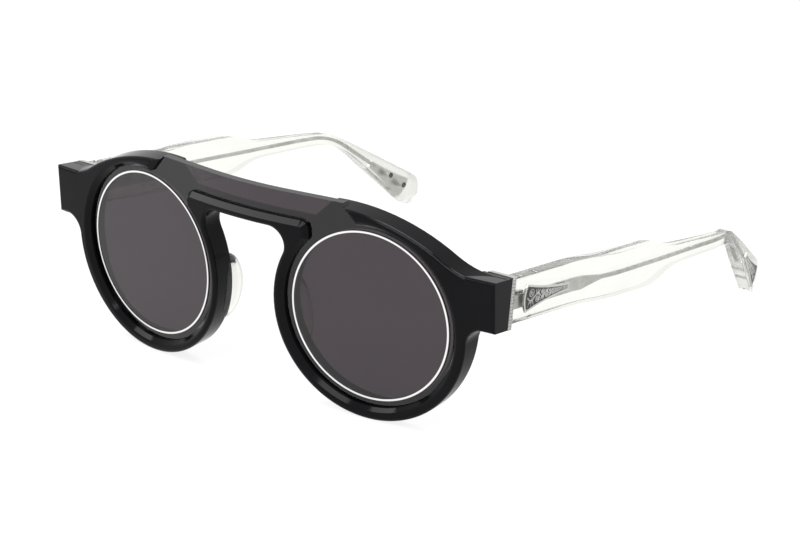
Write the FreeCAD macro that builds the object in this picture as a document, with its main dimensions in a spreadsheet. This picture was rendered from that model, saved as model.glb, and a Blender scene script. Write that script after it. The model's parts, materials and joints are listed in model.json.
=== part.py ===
import FreeCAD, Part
import Sketcher
import math
import os

Vector = FreeCAD.Vector

# Round acetate spectacle frame with a one-piece shield lens, clear temples and metal fittings.
# The front is drawn in its own upright axes: +X to the wearer's left, +Y to the rear, +Z up,
# with the lens centres on y = 0. The temples are drawn in axes turned by templeTilt about X.

document = FreeCAD.newDocument("Eyewear")

# Driving dimensions, in millimetres and degrees.
sizes = {
    # stance of the whole frame
    "frontLean": 3.69,
    "templeTilt": 9.3,
    # plan curve of the front
    "bridgeCurve": 112.0,
    "sideWrap": 6.85,
    "lensCentre": 35.6,
    "frontProud": 2.0,
    "frontDepth": 6.2,
    # outline of the front
    "rimCentre": 36.0,
    "rimRadius": 26.8,
    "apertureRadius": 22.2,
    "bridgeTop": 22.3,
    "noseTop": 19.0,
    "noseCorner": 4.5,
    "ledgeHalf": 19.3,
    "browStart": 24.8,
    "browStartHeight": 27.5,
    "browKnee": 57.2,
    "browKneeHeight": 18.7,
    "browEnd": 68.4,
    "endTop": 15.45,
    "endBottom": 3.4,
    "endHalf": 70.0,
    "endFillet": 5.0,
    "blockInner": 62.5,
    "blockOuter": 70.6,
    "blockTop": 6.1,
    "blockBottom": 6.7,
    "blockLength": 13.0,
    "rimBevel": 1.2,
    "outerRound": 0.9,
    # shield lens
    "lensThickness": 2.0,
    "lensRadius": 23.6,
    "lensClearance": 0.05,
    "barTop": 28.2,
    "barBottom": 21.9,
    "lipHalf": 19.6,
    "lipCorner": 2.2,
    "notchHalf": 28.9,
    "notchFoot": 33.0,
    # inlaid rings
    "ringRadius": 21.8,
    "ringWidth": 0.8,
    "ringProud": 0.12,
    "ringInlay": 0.5,
    # nose pads
    "padBulge": 1.8,
    "padReach": 6.2,
    "padLength": 44.0,
    "padInlay": 1.0,
    "padLead": 2.4,
    "padCrest": 0.6,
    "padSink": 0.2,
    "padFrontRadius": 5.5,
    "padRearRadius": 9.0,
    "padTipInset": 2.6,
    "padTipRadius": 1.2,
    "padBackInset": 3.4,
    "padSideRadius": 9.1,
    "padTurn": 10.0,
    # end plates and hinges
    "jointDepth": 10.5,
    "jointHeight": 8.8,
    "plateThickness": 1.5,
    "plateTop": 6.3,
    "plateBottom": 6.8,
    "plateInner": 63.4,
    "plateRound": 0.5,
    "hingeHalf": 65.0,
    "hingeBack": 1.5,
    "knuckleRadius": 1.35,
    "knuckleHeight": 1.4,
    "knuckleGap": 0.06,
    "leafHalf": 0.45,
    "anchorDepth": 3.2,
    "screwRadius": 0.5,
    "screwClearance": 0.04,
    "screwHeadRadius": 0.95,
    "screwHeadHeight": 0.4,
    "pinRadius": 0.6,
    "pinDepth": 4.0,
    "pinOffset": 4.3,
    "pinInset": 1.2,
    # temples
    "templeThickness": 4.0,
    "templeOuter": 70.6,
    "templeGap": 0.08,
    "templeHalfHeight": 5.7,
    "bowStart": 24.0,
    "bowEnd": 46.0,
    "bowOut": 2.2,
    "shoulderStart": 57.0,
    "shoulderEnd": 76.0,
    "waistTop": 2.8,
    "waistBottom": 2.1,
    "bendStart": 101.5,
    "bendTop": 1.8,
    "bendBottom": 1.6,
    "bendTopRadius": 19.0,
    "bendBottomRadius": 22.0,
    "tipTopAngle": 25.0,
    "tipBottomAngle": 37.0,
    "tipEnd": 141.0,
    "tipDrop": 22.9,
    "tipHeel": 137.1,
    "tipTopRound": 3.0,
    "tipEndRound": 3.1,
    "tipHeelRound": 1.5,
    "tipBendStart": 92.0,
    "tipBendRadius": 60.0,
    "tipInAngle": 13.5,
    # core
    "coreThickness": 1.0,
    "coreStart": 1.7,
    "coreHalfHeight": 1.7,
    "coreDrop": 0.6,
    "coreTaperStart": 31.0,
    "coreTaperEnd": 38.5,
    "hingeBlockLength": 4.3,
    "wireHalf": 0.48,
    "wireStartHeight": 0.0,
    "wireBendStart": 100.8,
    "wireBendHeight": 0.5,
    "wireBendRadius": 22.0,
    "wireAngle": 31.0,
    "wireEnd": 124.7,
    # decorative plaques and their rivets
    "plaqueInlay": 0.6,
    "plaqueProud": 0.35,
    "rivetRadius": 0.65,
    "plaqueStart": 4.3,
    "plaqueEnd": 24.0,
    "plaqueHalfStart": 3.5,
    "plaqueHalfEnd": 0.9,
    "plaqueFrontBulge": 1.0,
    "plaqueFrontRadius": 6.0,
    "plaqueSideRadius": 90.0,
    "plaqueRivetStart": 9.5,
    "tipAxisAngle": 33.0,
    "tipAxisHeight": 5.1,
    "tipPlaqueStart": 27.0,
    "tipPlaqueLength": 16.2,
    "tipPlaqueHalfStart": 1.0,
    "tipPlaqueHalfEnd": 3.5,
    "tipPlaqueEndRadius": 9.0,
    "tipRivetStart": 33.6,
    "tipRivetRise": 0.0,
    "rivetStep": 6.6,
}

sheet = document.addObject("Spreadsheet::Sheet", "Sizes")


class Size:
    # A number that remembers the spreadsheet formula it came from.
    def __init__(self, value, text):
        self.value = value
        self.text = text

    def __add__(self, other):
        other = asSize(other)
        return Size(self.value + other.value, f"({self.text} + {other.text})")

    def __radd__(self, other):
        return asSize(other) + self

    def __sub__(self, other):
        other = asSize(other)
        return Size(self.value - other.value, f"({self.text} - {other.text})")

    def __rsub__(self, other):
        return asSize(other) - self

    def __mul__(self, other):
        other = asSize(other)
        return Size(self.value * other.value, f"({self.text} * {other.text})")

    def __rmul__(self, other):
        return asSize(other) * self

    def __truediv__(self, other):
        other = asSize(other)
        return Size(self.value / other.value, f"({self.text} / {other.text})")

    def __neg__(self):
        return Size(-self.value, f"(0 - {self.text})")


def asSize(number):
    if isinstance(number, Size):
        return number
    return Size(float(number), f"({float(number):.6f})")


def root(size):
    return Size(math.sqrt(size.value), f"sqrt({size.text})")


def sine(size):
    return Size(math.sin(math.radians(size.value)), f"sin({size.text})")


def cosine(size):
    return Size(math.cos(math.radians(size.value)), f"cos({size.text})")


class Dimensions:
    pass


dim = Dimensions()
for row, (name, value) in enumerate(sizes.items(), start=1):
    sheet.set(f"A{row}", name)
    sheet.set(f"B{row}", str(value))
    sheet.setAlias(f"B{row}", name)
    setattr(dim, name, Size(value, f"Sizes.{name}"))
document.recompute()


# Sketching helpers

def line():
    return None


def arc(radius, turn, large=False):
    # turn is 1 for an anticlockwise arc and -1 for a clockwise one
    return (radius, turn, large)


def newBody(name):
    return document.addObject("PartDesign::Body", name)


def newSketch(body, role, name):
    sketch = body.newObject("Sketcher::SketchObject", name)
    plane = [item for item in body.Origin.OriginFeatures if item.Role == role][0]
    sketch.AttachmentSupport = [(plane, "")]
    sketch.MapMode = "FlatFace"
    return sketch


def bindConstraint(sketch, kind, arguments, size):
    index = sketch.addConstraint(Sketcher.Constraint(kind, *arguments, size.value))
    sketch.setExpression(f"Constraints[{index}]", size.text)


def arcCentre(start, end, radius, turn, large):
    chord = end - start
    half = chord.Length / 2
    rise = math.sqrt(max(radius * radius - half * half, 0.0))
    side = Vector(-chord.y, chord.x, 0).normalize()
    sign = turn if not large else -turn
    return (start + end) * 0.5 + side * rise * sign


def addLoop(sketch, corners):
    # corners holds (x, y, edge to the next corner), every x and y a Size
    points = [Vector(x.value, y.value, 0) for x, y, edge in corners]
    ends = []
    for index, (x, y, edge) in enumerate(corners):
        start = points[index]
        end = points[(index + 1) % len(points)]
        if edge is None:
            geometry = sketch.addGeometry(Part.LineSegment(start, end), False)
            ends.append((geometry, 1, 2))
            continue
        radius, turn, large = edge
        centre = arcCentre(start, end, radius.value, turn, large)
        circle = Part.Circle(centre, Vector(0, 0, 1), radius.value)
        low, high = (start, end) if turn > 0 else (end, start)
        lowAngle = math.atan2(low.y - centre.y, low.x - centre.x)
        highAngle = math.atan2(high.y - centre.y, high.x - centre.x)
        if highAngle < lowAngle:
            highAngle += 2 * math.pi
        geometry = sketch.addGeometry(Part.ArcOfCircle(circle, lowAngle, highAngle), False)
        ends.append((geometry, 1, 2) if turn > 0 else (geometry, 2, 1))
        bindConstraint(sketch, "Radius", (geometry,), radius)
    for index, (x, y, edge) in enumerate(corners):
        geometry, startPoint, endPoint = ends[index]
        following = ends[(index + 1) % len(ends)]
        sketch.addConstraint(
            Sketcher.Constraint("Coincident", geometry, endPoint, following[0], following[1]))
        bindConstraint(sketch, "DistanceX", (-1, 1, geometry, startPoint), x)
        bindConstraint(sketch, "DistanceY", (-1, 1, geometry, startPoint), y)


def addCircle(sketch, x, y, radius):
    centre = Vector(x.value, y.value, 0)
    geometry = sketch.addGeometry(Part.Circle(centre, Vector(0, 0, 1), radius.value), False)
    bindConstraint(sketch, "Radius", (geometry,), radius)
    bindConstraint(sketch, "DistanceX", (-1, 1, geometry, 3), x)
    bindConstraint(sketch, "DistanceY", (-1, 1, geometry, 3), y)


def pad(body, sketch, name, size, symmetric=True, reverse=False):
    feature = body.newObject("PartDesign::Pad", name)
    feature.Profile = sketch
    feature.SideType = "Symmetric" if symmetric else "One side"
    feature.Reversed = reverse
    feature.Length = size.value
    feature.setExpression("Length", size.text)
    return feature


def pocketThrough(body, sketch, name):
    feature = body.newObject("PartDesign::Pocket", name)
    feature.Profile = sketch
    feature.Type = "ThroughAll"
    feature.Refine = False
    feature.SideType = "Symmetric"
    return feature


def roundEdges(body, base, edges, name, radius):
    feature = body.newObject("PartDesign::Fillet", name)
    feature.Base = (base, edges)
    feature.Refine = False
    feature.Radius = radius.value
    feature.setExpression("Radius", radius.text)
    return feature


def edgesWhere(shape, test):
    return [f"Edge{number}" for number, edge in enumerate(shape.Edges, start=1) if test(edge)]


def edgeMiddle(edge):
    return edge.valueAt((edge.FirstParameter + edge.LastParameter) / 2)


depthReach = asSize(100)
sideReach = asSize(300)
farSide = asSize(90)
farBack = asSize(45)
farFront = asSize(30)
overlap = asSize(0.1)
middle = asSize(0.000001)


# Plan of the front: flat across each lens, one arc between them.

wrapSine = sine(dim.sideWrap)
wrapCosine = cosine(dim.sideWrap)
planTouch = dim.bridgeCurve * wrapSine
planCentre = (planTouch - dim.lensCentre) * wrapSine / wrapCosine + dim.bridgeCurve * wrapCosine


def planJoint(offset):
    # point where the arc of a plan curve offset to the rear meets its straight side
    curve = dim.bridgeCurve - offset
    return curve * wrapSine, planCentre - curve * wrapCosine


def planDepth(offset, x):
    # y of a plan curve at a distance x from the middle, as plain numbers
    jointX, jointY = planJoint(asSize(offset))
    if x > jointX.value:
        return jointY.value + (x - jointX.value) * wrapSine.value / wrapCosine.value
    curve = dim.bridgeCurve.value - offset
    return planCentre.value - math.sqrt(curve * curve - x * x)


def planSide(offset, x):
    # y of the straight side of a plan curve
    jointX, jointY = planJoint(offset)
    return jointY + (x - jointX) * wrapSine / wrapCosine


def slabCorners(front, rear, half):
    # closed outline between two offsets of the plan curve, half wide each way
    frontX, frontY = planJoint(front)
    rearX, rearY = planJoint(rear)
    return [
        (-half, planSide(rear, half), line()),
        (-half, planSide(front, half), line()),
        (-frontX, frontY, arc(dim.bridgeCurve - front, 1)),
        (frontX, frontY, line()),
        (half, planSide(front, half), line()),
        (half, planSide(rear, half), line()),
        (rearX, rearY, arc(dim.bridgeCurve - rear, -1)),
        (-rearX, rearY, line()),
    ]


def makeSlab(name, corners):
    body = newBody(name)
    sketch = newSketch(body, "XY_Plane", name + "Outline")
    addLoop(sketch, corners)
    pad(body, sketch, name + "Block", depthReach)
    return body


def common(name, base, tool):
    feature = document.addObject("Part::Common", name)
    feature.Base = base
    feature.Tool = tool
    return feature


def cutAway(name, base, tools):
    # base less every tool; the tools stay pieces of their own
    tool = tools[0]
    if len(tools) > 1:
        tool = document.addObject("Part::Compound", name + "Tools")
        tool.Links = tools
    feature = document.addObject("Part::Cut", name)
    feature.Base = base
    feature.Tool = tool
    return feature


def keepSlab(body, front, rear, name):
    # keeps what lies between two offsets of the plan curve
    slab = makeSlab(name + "Slab", slabCorners(front, rear, farSide))
    place(slab, frontFrame)
    return common(name, body, slab)


def finishEdges(kind, name, base, test, size):
    # kind is Fillet or Chamfer; test picks the edges
    feature = document.addObject(f"Part::{kind}", name)
    feature.Base = base
    numbers = [index for index, edge in enumerate(base.Shape.Edges, start=1) if test(edge)]
    feature.Edges = [(number, size.value, size.value) for number in numbers]
    return feature


# Placements: every piece is drawn in the front's axes, a temple's axes or a hinge's axes.

frontFrame = FreeCAD.Placement()
templeFrame = FreeCAD.Placement(
    Vector(0, dim.jointDepth.value, dim.jointHeight.value),
    FreeCAD.Rotation(Vector(1, 0, 0), -dim.templeTilt.value))
placed = []


def hingeFrame(side):
    offset = Vector(side * dim.hingeHalf.value, dim.hingeBack.value, 0)
    return templeFrame * FreeCAD.Placement(offset, FreeCAD.Rotation())


def place(body, frame):
    placed.append((body, frame))
    body.Placement = frame


# Outline of the front

def tangentRadius(start, end, normal):
    # radius of the arc from start to end whose tangent at the shared point is square to normal
    dx = end[0] - start[0]
    dy = end[1] - start[1]
    across = dx * normal[0] + dy * normal[1]
    return (dx * dx + dy * dy) / (2 * across)


def browArcs():
    start = (dim.browStart, dim.browStartHeight)
    knee = (dim.browKnee, dim.browKneeHeight)
    end = (dim.browEnd, dim.endTop)
    up = (asSize(0), asSize(1))
    concave = tangentRadius(end, knee, up)
    centre = (dim.browEnd, dim.endTop + concave)
    normal = ((centre[0] - knee[0]) / concave, (centre[1] - knee[1]) / concave)
    convex = tangentRadius(knee, start, (-normal[0], -normal[1]))
    return convex, concave


def frontOutline():
    convex, concave = browArcs()
    endReach = dim.rimRadius + dim.endFillet
    endDrop = dim.endBottom - dim.endFillet
    endX = dim.rimCentre + root(endReach * endReach - endDrop * endDrop)
    endTouch = (dim.rimCentre + (endX - dim.rimCentre) * dim.rimRadius / endReach,
                endDrop * dim.rimRadius / endReach)
    noseReach = dim.rimRadius + dim.noseCorner
    noseRise = dim.noseTop - dim.noseCorner
    noseX = dim.rimCentre - root(noseReach * noseReach - noseRise * noseRise)
    noseTouch = (dim.rimCentre - (dim.rimCentre - noseX) * dim.rimRadius / noseReach,
                 noseRise * dim.rimRadius / noseReach)
    right = [
        (dim.ledgeHalf, dim.bridgeTop, line()),
        (dim.browStart, dim.browStartHeight, arc(convex, -1)),
        (dim.browKnee, dim.browKneeHeight, arc(concave, 1)),
        (dim.browEnd, dim.endTop, line()),
        (dim.endHalf, dim.endTop, line()),
        (dim.endHalf, dim.endBottom, line()),
        (endX, dim.endBottom, arc(dim.endFillet, 1)),
        (endTouch[0], endTouch[1], arc(dim.rimRadius, -1, large=True)),
        (noseTouch[0], noseTouch[1], arc(dim.noseCorner, 1)),
        (noseX, dim.noseTop, line()),
    ]
    return mirrored(right)


def mirrored(right):
    # the right half from the top middle round to the bottom middle, and its mirror image
    left = []
    count = len(right)
    for index in range(count - 1, -1, -1):
        x, y, edge = right[index]
        before = right[index - 1][2] if index > 0 else line()
        left.append((-x, y, before))
    return right + left


def recessOutline(clearance, top):
    # outline of the shield lens grown by a clearance, its bar running up to top
    radius = dim.lensRadius + clearance
    footRise = root(radius * radius - square(dim.notchFoot - dim.lensCentre))
    lean = (dim.notchFoot - dim.notchHalf) / (footRise - dim.barTop)
    topX = dim.notchFoot + (top - footRise) * lean
    lipX = dim.lipHalf - clearance
    lipFoot = root(radius * radius - square(dim.lensCentre - lipX))
    floor = dim.barBottom - clearance
    right = [
        (topX, top, line()),
        (dim.notchFoot, footRise, arc(radius, -1, large=True)),
        (lipX, lipFoot, line()),
        (lipX, floor - dim.lipCorner, arc(dim.lipCorner, 1)),
        (lipX - dim.lipCorner, floor, line()),
    ]
    return mirrored(right)


def square(size):
    return size * size


def onFront(edge, offset, slack=0.02):
    # true for an edge that lies on the plan curve at an offset
    for part in range(5):
        share = part / 4
        parameter = edge.FirstParameter + (edge.LastParameter - edge.FirstParameter) * share
        point = edge.valueAt(parameter)
        if abs(point.y - planDepth(offset, abs(point.x))) > slack:
            return False
    return True


def nearRecess(edge):
    # true for the edges around the seat of the shield lens
    point = edgeMiddle(edge)
    fromLens = math.hypot(abs(point.x) - dim.lensCentre.value, point.z)
    onDisc = abs(fromLens - dim.lensRadius.value) < 0.3
    abreast = abs(point.x) < dim.notchFoot.value
    return onDisc or (abreast and dim.noseTop.value + 0.5 < point.z < dim.browStartHeight.value - 1)


lensRear = dim.lensThickness
frontFace = -dim.frontProud
rearFace = dim.frontDepth - dim.frontProud


def makeOutlinePiece(name, corners):
    body = newBody(name)
    sketch = newSketch(body, "XZ_Plane", name + "Outline")
    addLoop(sketch, corners)
    pad(body, sketch, name + "Block", depthReach)
    place(body, frontFrame)
    return body


def makeFrontSlab():
    # from the face of the front to its curved rear
    slab = makeSlab("frontSlab", slabCorners(frontFace, rearFace, farSide))
    place(slab, frontFrame)
    return slab


def makeFaceSlab():
    # everything behind the face of the front
    faceX, faceY = planJoint(frontFace)
    body = makeSlab("faceSlab", [
        (-farSide, farBack, line()),
        (-farSide, planSide(frontFace, farSide), line()),
        (-faceX, faceY, arc(dim.bridgeCurve - frontFace, 1)),
        (faceX, faceY, line()),
        (farSide, planSide(frontFace, farSide), line()),
        (farSide, farBack, line()),
    ])
    place(body, frontFrame)
    return body


def makeEndBlock(side, name):
    # the corner of the front that the end plate seats on, level with the temple
    body = newBody(name)
    sketch = newSketch(body, "XZ_Plane", name + "Outline")
    addLoop(sketch, sided([
        (dim.blockInner, dim.blockTop, line()),
        (dim.blockOuter, dim.blockTop, line()),
        (dim.blockOuter, -dim.blockBottom, line()),
        (dim.blockInner, -dim.blockBottom, line()),
    ], side))
    pad(body, sketch, name + "Pad", dim.blockLength, symmetric=False)
    place(body, templeFrame)
    return body


def makeSeatCutter():
    # everything behind the plane that the end plates seat on, drawn in the temples' axes
    body = newBody("seatCutter")
    sketch = newSketch(body, "YZ_Plane", "SeatOutline")
    addLoop(sketch, [
        (-dim.plateThickness, -farSide, line()),
        (farSide, -farSide, line()),
        (farSide, farSide, line()),
        (-dim.plateThickness, farSide, line()),
    ])
    pad(body, sketch, "SeatBlock", sideReach)
    place(body, templeFrame)
    return body


def makeApertureCutter():
    body = newBody("apertureCutter")
    sketch = newSketch(body, "XZ_Plane", "ApertureOutline")
    for side in (1, -1):
        addCircle(sketch, side * dim.lensCentre, middle, dim.apertureRadius)
    pad(body, sketch, "ApertureBlock", depthReach)
    place(body, frontFrame)
    return body


def makeFront():
    outline = makeOutlinePiece("frontBlock", frontOutline())
    curved = common("frontCurved", outline, makeFrontSlab())
    joined = document.addObject("Part::MultiFuse", "frontJoined")
    joined.Shapes = [curved, makeEndBlock(1, "endBlockLeft"), makeEndBlock(-1, "endBlockRight")]
    faced = common("frontFaced", joined, makeFaceSlab())
    recess = keepSlab(
        makeOutlinePiece("recessBlock", recessOutline(dim.lensClearance, farBack)),
        -farFront, lensRear, "lensRecess")
    carved = cutAway("frontCarved", faced, [makeSeatCutter(), makeApertureCutter(), recess])
    document.recompute()
    beveled = finishEdges(
        "Chamfer", "frontBeveled", carved,
        lambda edge: onFront(edge, frontFace.value) and nearRecess(edge), dim.rimBevel)
    document.recompute()
    rounded = finishEdges(
        "Fillet", "frontRounded", beveled,
        lambda edge: onFront(edge, frontFace.value) and onOutside(edge), dim.outerRound)
    document.recompute()
    return rounded


def onOutside(edge):
    # true for the front edges of the outline itself
    point = edgeMiddle(edge)
    x = abs(point.x)
    fromRim = math.hypot(x - dim.rimCentre.value, point.z)
    onRim = abs(fromRim - dim.rimRadius.value) < 0.05
    onBrow = x > dim.notchHalf.value + 1 and point.z > dim.endTop.value - 0.5
    onBlock = x > dim.rimCentre.value + dim.rimRadius.value - 0.3
    onNose = x < dim.rimCentre.value - dim.apertureRadius.value and point.z < dim.noseTop.value + 0.1
    return onRim or onBrow or onBlock or onNose


def makeShield(rings):
    outline = makeOutlinePiece("shieldBlock", recessOutline(asSize(0), dim.barTop))
    blank = keepSlab(outline, asSize(0), lensRear, "shieldBlank")
    return cutAway("shield", blank, rings)


def makeRing(side, name):
    body = newBody(name + "Block")
    sketch = newSketch(body, "XZ_Plane", name + "Outline")
    half = dim.ringWidth / 2
    addCircle(sketch, side * dim.lensCentre, middle, dim.ringRadius + half)
    addCircle(sketch, side * dim.lensCentre, middle, dim.ringRadius - half)
    pad(body, sketch, name + "Pad", depthReach)
    place(body, frontFrame)
    return keepSlab(body, -dim.ringProud, dim.ringInlay, name)


def makeNosePad(side, name, front):
    # section in plan, turned about the rim's axis so that the pad follows the rim
    body = newBody(name + "Blank")
    sketch = newSketch(body, "XY_Plane", name + "Section")
    wall = dim.rimCentre - dim.rimRadius
    rear = asSize(planDepth(rearFace.value, wall.value))
    reach = rear + dim.padReach
    addLoop(sketch, sided([
        (wall + dim.padInlay, rear - dim.padLead, arc(dim.padFrontRadius, -1)),
        (wall - dim.padBulge, rear + dim.padCrest, arc(dim.padRearRadius, -1)),
        (wall + dim.padTipInset, reach, arc(dim.padTipRadius, -1)),
        (wall + dim.padBackInset, reach - dim.padTipRadius, line()),
        (wall + dim.padBackInset, rear - dim.padSink, line()),
    ], side))
    addAxis(sketch, side * dim.rimCentre)
    turn = body.newObject("PartDesign::Revolution", name + "Turn")
    turn.Profile = sketch
    turn.ReferenceAxis = (sketch, ["Axis0"])
    turn.Angle = dim.padLength.value
    turn.setExpression("Angle", dim.padLength.text)
    turn.Midplane = True
    outline = newBody(name + "Side")
    circle = newSketch(outline, "YZ_Plane", name + "SideOutline")
    addCircle(circle, reach + overlap - dim.padSideRadius, middle, dim.padSideRadius)
    pad(outline, circle, name + "SidePad", depthReach)
    turned = FreeCAD.Placement(
        Vector(), FreeCAD.Rotation(Vector(0, 1, 0), -side * dim.padTurn.value),
        Vector(side * dim.rimCentre.value, 0, 0))
    place(body, frontFrame * turned)
    place(outline, frontFrame * turned)
    document.recompute()
    return cutAway(name, common(name + "Round", body, outline), [front])


def addAxis(sketch, x):
    # an upright line for a revolution to turn about
    reach = farFront.value
    segment = Part.LineSegment(Vector(x.value, -reach, 0), Vector(x.value, reach, 0))
    geometry = sketch.addGeometry(segment, True)
    bindConstraint(sketch, "DistanceX", (-1, 1, geometry, 1), x)
    bindConstraint(sketch, "DistanceX", (-1, 1, geometry, 2), x)


def flipped(corners):
    # mirror image of a loop across the middle plane
    count = len(corners)
    result = []
    for index in range(count):
        x, y, edge = corners[-index]
        before = corners[-index - 1][2]
        result.append((-x, y, before))
    return result


def sided(corners, side):
    return corners if side > 0 else flipped(corners)


# End plates, hinges and screws

plateOutline = [
    (dim.plateInner, dim.plateTop, line()),
    (dim.templeOuter, dim.plateTop, line()),
    (dim.templeOuter, -dim.plateBottom, line()),
    (dim.plateInner, -dim.plateBottom, line()),
]


def makePlateBlank(side, name):
    body = newBody(name + "Blank")
    sketch = newSketch(body, "XZ_Plane", name + "Outline")
    addLoop(sketch, sided(plateOutline, side))
    block = pad(body, sketch, name + "Block", dim.plateThickness, symmetric=False)
    document.recompute()
    roundEdges(body, block, edgesWhere(block.Shape, alongDepth), name + "Corners", dim.plateRound)
    place(body, templeFrame)
    return body


def bore(body, radius, name):
    sketch = newSketch(body, "XY_Plane", name + "Outline")
    addCircle(sketch, middle, middle, radius)
    return pocketThrough(body, sketch, name)


def alongDepth(edge):
    return abs(edge.tangentAt(edge.FirstParameter).y) > 0.99


def alongWidth(edge):
    return abs(edge.tangentAt(edge.FirstParameter).x) > 0.99


hingeHalfHeight = dim.knuckleHeight * 1.5 + dim.knuckleGap


def makeFrontHinge(side, name):
    # two knuckles on an anchor that runs through the end plate into the front
    body = newBody(name)
    anchor = newSketch(body, "XY_Plane", name + "AnchorOutline")
    addLoop(anchor, [
        (-dim.leafHalf, -dim.hingeBack - dim.plateThickness - dim.anchorDepth, line()),
        (dim.leafHalf, -dim.hingeBack - dim.plateThickness - dim.anchorDepth, line()),
        (dim.leafHalf, overlap - dim.hingeBack, line()),
        (-dim.leafHalf, overlap - dim.hingeBack, line()),
    ])
    pad(body, anchor, name + "Anchor", hingeHalfHeight * 2)
    knuckle = newSketch(body, "XY_Plane", name + "KnuckleOutline")
    addLoop(knuckle, [
        (-dim.knuckleRadius, -dim.hingeBack, line()),
        (dim.knuckleRadius, -dim.hingeBack, line()),
        (dim.knuckleRadius, middle, arc(dim.knuckleRadius, 1)),
        (middle, dim.knuckleRadius, arc(dim.knuckleRadius, 1)),
        (-dim.knuckleRadius, middle, line()),
    ])
    pad(body, knuckle, name + "Knuckles", hingeHalfHeight * 2)
    gap = newSketch(body, "XZ_Plane", name + "GapOutline")
    halfGap = dim.knuckleHeight / 2 + dim.knuckleGap
    addLoop(gap, [
        (-dim.knuckleRadius * 2, halfGap, line()),
        (dim.knuckleRadius * 2, halfGap, line()),
        (dim.knuckleRadius * 2, -halfGap, line()),
        (-dim.knuckleRadius * 2, -halfGap, line()),
    ])
    slot = body.newObject("PartDesign::Pocket", name + "Gap")
    slot.Profile = gap
    slot.SideType = "Symmetric"
    slot.Length = (dim.knuckleRadius.value + dim.knuckleGap.value) * 2
    slot.setExpression("Length", ((dim.knuckleRadius + dim.knuckleGap) * 2).text)
    bore(body, dim.screwRadius, name + "Bore")
    place(body, hingeFrame(side))
    return body


def makeHingeScrew(side, name):
    body = newBody(name)
    sketch = newSketch(body, "XZ_Plane", name + "Profile")
    top = hingeHalfHeight
    addLoop(sketch, [
        (middle, -top, line()),
        (dim.screwRadius, -top, line()),
        (dim.screwRadius, top, line()),
        (dim.screwHeadRadius, top, line()),
        (dim.screwHeadRadius, top + dim.screwHeadHeight, line()),
        (middle, top + dim.screwHeadHeight, line()),
    ])
    turn = body.newObject("PartDesign::Revolution", name + "Turn")
    turn.Profile = sketch
    turn.ReferenceAxis = (sketch, ["V_Axis"])
    turn.Angle = 360
    place(body, hingeFrame(side))
    return body


def makeTempleHinge(side, name):
    # one knuckle and its arm, on a block that fills the temple's front between core and face
    body = newBody(name)
    face = dim.templeOuter - dim.templeThickness - dim.hingeHalf
    coreFace = face + (dim.templeThickness - dim.coreThickness) / 2
    start = dim.coreStart - dim.hingeBack
    arm = newSketch(body, "XY_Plane", name + "ArmOutline")
    addLoop(arm, sided([
        (middle, -dim.knuckleRadius, arc(dim.knuckleRadius, -1)),
        (-dim.knuckleRadius, middle, arc(dim.knuckleRadius, -1)),
        (middle, dim.knuckleRadius, line()),
        (face + overlap, dim.knuckleRadius, line()),
        (face + overlap, start, line()),
        (dim.knuckleRadius, start, line()),
        (dim.knuckleRadius, middle, arc(dim.knuckleRadius, -1)),
    ], side))
    pad(body, arm, name + "Arm", dim.knuckleHeight)
    block = newSketch(body, "XY_Plane", name + "BlockOutline")
    addLoop(block, sided([
        (face, start, line()),
        (coreFace, start, line()),
        (coreFace, start + dim.hingeBlockLength, line()),
        (face, start + dim.hingeBlockLength, line()),
    ], side))
    pad(body, block, name + "Block", dim.coreHalfHeight * 2)
    bore(body, dim.screwRadius + dim.screwClearance, name + "Bore")
    place(body, hingeFrame(side))
    return body


def makePlatePins(side, name):
    x = side * ((dim.templeOuter + dim.plateInner) / 2 + dim.pinInset)
    body = newBody(name)
    sketch = newSketch(body, "XZ_Plane", name + "Outline")
    for up in (1, -1):
        addCircle(sketch, x, up * dim.pinOffset, dim.pinRadius)
    pad(body, sketch, name + "Pad", dim.plateThickness + dim.pinDepth, symmetric=False)
    place(body, templeFrame)
    return body


# Temples

templeMiddle = dim.templeOuter - dim.templeThickness / 2


def bowArc(offset):
    # radii of the S curve that carries the temple outwards, and the point where its arcs meet
    run = (dim.bowEnd - dim.bowStart) / 2
    rise = dim.bowOut / 2
    radius = (run * run + rise * rise) / (2 * rise)
    x = templeMiddle + rise + offset * (radius - rise) / radius
    s = dim.bowStart + run - offset * run / radius
    return radius - offset, radius + offset, x, s


def tipTurn(bowed, offset):
    # where the inward bend of the tip ends and its straight run begins
    radius = dim.tipBendRadius + offset
    x = bowed - dim.tipBendRadius + radius * cosine(dim.tipInAngle)
    return x, dim.tipBendStart + radius * sine(dim.tipInAngle)


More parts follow.
